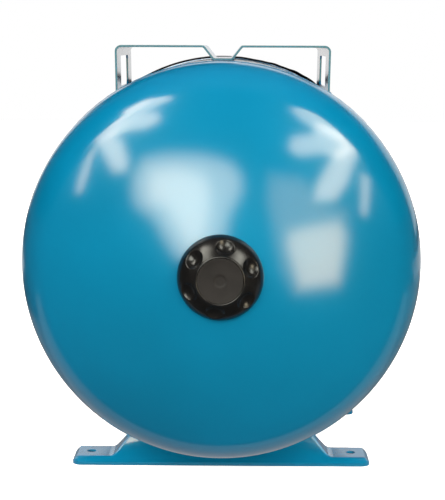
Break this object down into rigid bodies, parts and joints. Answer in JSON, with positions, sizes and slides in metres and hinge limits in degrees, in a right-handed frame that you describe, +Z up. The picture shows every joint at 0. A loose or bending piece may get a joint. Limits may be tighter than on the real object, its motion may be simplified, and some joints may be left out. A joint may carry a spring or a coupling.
{
  "type": "expansion vessel",
  "caption": "Horizontal pressure vessel with domed ends, pressed saddle feet, a pump bracket on top, a scooped cap over the air valve and a bolted flange with a threaded water connection.",
  "frame": {"origin": "on the floor, under the middle of the overall length and width", "axes": "+Y along the shell's axis towards the water connection, -Y towards the air valve, +Z up through the pump bracket"},
  "size_m": [0.3666, 0.6042, 0.4055],
  "materials": {
    "teal_paint": "gloss enamel over steel",
    "black_plastic": "satin moulded polypropylene",
    "black_rubber": "matt",
    "zinc_plated_steel": "zinc plated",
    "valve_brass": "turned",
    "spring_steel": "drawn wire",
    "black_film": "thin printed film, blank",
    "plate_silver": "satin, blank"
  },
  "bodies": {
    "vessel": {"front_head": "teal_paint", "rear_head": "teal_paint", "shell_cylinder": "teal_paint", "front_girth_weld": "teal_paint", "rear_girth_weld": "teal_paint", "seam_weld": "teal_paint", "front_foot": "teal_paint", "rear_foot": "teal_paint", "foot_welds": "teal_paint", "pump_bracket": "teal_paint", "bracket_welds": "teal_paint", "neck_tube": "teal_paint", "neck_ring": "teal_paint", "neck_weld": "teal_paint", "valve_bush": "teal_paint", "bush_weld": "teal_paint", "flange_cover": "zinc_plated_steel", "water_nozzle": "zinc_plated_steel", "nozzle_weld": "zinc_plated_steel", "flange_bolts": "zinc_plated_steel", "flange_washers": "zinc_plated_steel", "flange_nuts": "zinc_plated_steel", "bladder": "black_rubber", "valve_body": "valve_brass", "valve_seal": "black_rubber", "valve_core": "valve_brass", "core_spring": "spring_steel", "wrap_label": "black_film", "rating_plate": "plate_silver"},
    "cover_seal": {"cover_seal_ring": "black_rubber"},
    "cover": {"valve_cover": "black_plastic", "cover_insert": "black_plastic", "cover_disc": "black_plastic"},
    "dust_cap_liner": {"dust_cap_liner": "black_rubber"},
    "dust_cap": {"dust_cap": "black_plastic"},
    "valve_pin": {"valve_pin": "valve_brass"}
  },
  "joints": [
    {"name": "cover_lift", "type": "slide", "parent": "vessel", "child": "cover_seal", "axis": [0, -1, 0], "range_m": [0, 0.0061]},
    {"name": "cover_turn", "type": "hinge", "parent": "cover_seal", "child": "cover", "pos_m": [0, -0.2929, 0.2086], "axis": [0, -1, 0], "range_deg": [0, 1080]},
    {"name": "dust_cap_lift", "type": "slide", "parent": "vessel", "child": "dust_cap_liner", "axis": [0, -1, 0], "range_m": [0, 0.0074]},
    {"name": "dust_cap_turn", "type": "hinge", "parent": "dust_cap_liner", "child": "dust_cap", "pos_m": [0, -0.2859, 0.2086], "axis": [0, -1, 0], "range_deg": [0, 3330]},
    {"name": "valve_pin_press", "type": "slide", "parent": "vessel", "child": "valve_pin", "axis": [0, 1, 0], "range_m": [0, 0.0012], "stiffness_N_per_m": 800, "springref_m": -0.001, "deforming": ["core_spring"]}
  ],
  "couplings": [
    {"joint": "cover_lift", "follows": "cover_turn", "m_per_rad": 0.00031831},
    {"joint": "dust_cap_lift", "follows": "dust_cap_turn", "m_per_rad": 0.00012637}
  ]
}
